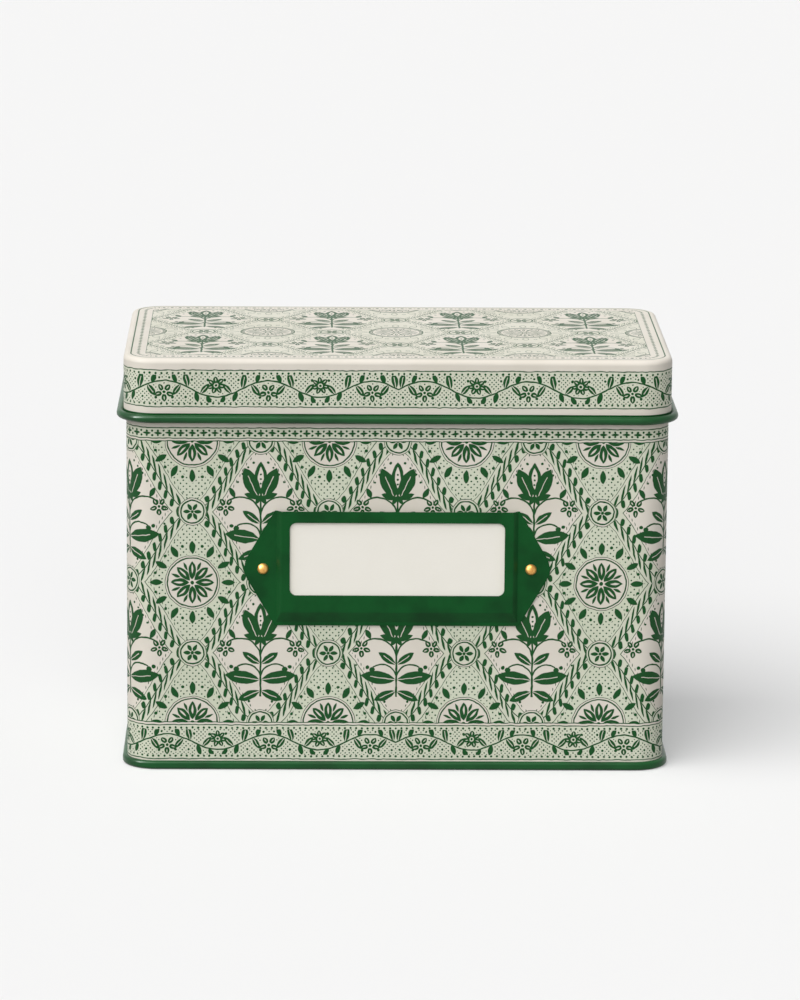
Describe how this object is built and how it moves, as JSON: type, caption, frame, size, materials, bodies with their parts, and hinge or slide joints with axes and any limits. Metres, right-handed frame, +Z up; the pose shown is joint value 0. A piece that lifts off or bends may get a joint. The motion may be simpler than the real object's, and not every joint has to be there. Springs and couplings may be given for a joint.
{
  "type": "hinged index card tin",
  "caption": "Rectangular printed steel tin for standing index cards, with a deep lid hinged along the back, rolled green rims and a riveted label holder on the front.",
  "frame": {"origin": "centre of the underside, on the plane the tin stands on", "axes": "+X to the right along the longest side, -Y to the front with the label holder, +Z up"},
  "size_m": [0.175, 0.1, 0.131],
  "materials": {
    "printed_can": "green print on cream, satin varnish",
    "printed_lid": "green print on cream, satin varnish, green rim",
    "green_enamel": "satin enamel",
    "holder_enamel": "satin enamel",
    "zinc_steel": "bright zinc",
    "brass": "polished",
    "card_paper": "matte"
  },
  "bodies": {
    "can": {"body_wall": "printed_can", "base_pan": "green_enamel", "left_hinge_leaf": "zinc_steel", "right_hinge_leaf": "zinc_steel", "hinge_rivets": "zinc_steel", "label_holder": "holder_enamel", "holder_rivets": "brass"},
    "lid": {"lid_shell": "printed_lid", "hinge_wire": "zinc_steel"},
    "card": {"label_card": "card_paper"}
  },
  "joints": [
    {"name": "lid_hinge", "type": "hinge", "parent": "can", "child": "lid", "pos_m": [0, 0.04875, 0.11225], "axis": [-1, 0, 0], "range_deg": [0, 110]},
    {"name": "card_slide", "type": "slide", "parent": "can", "child": "card", "axis": [0, 0, 1], "range_m": [0, 0.0285]}
  ]
}
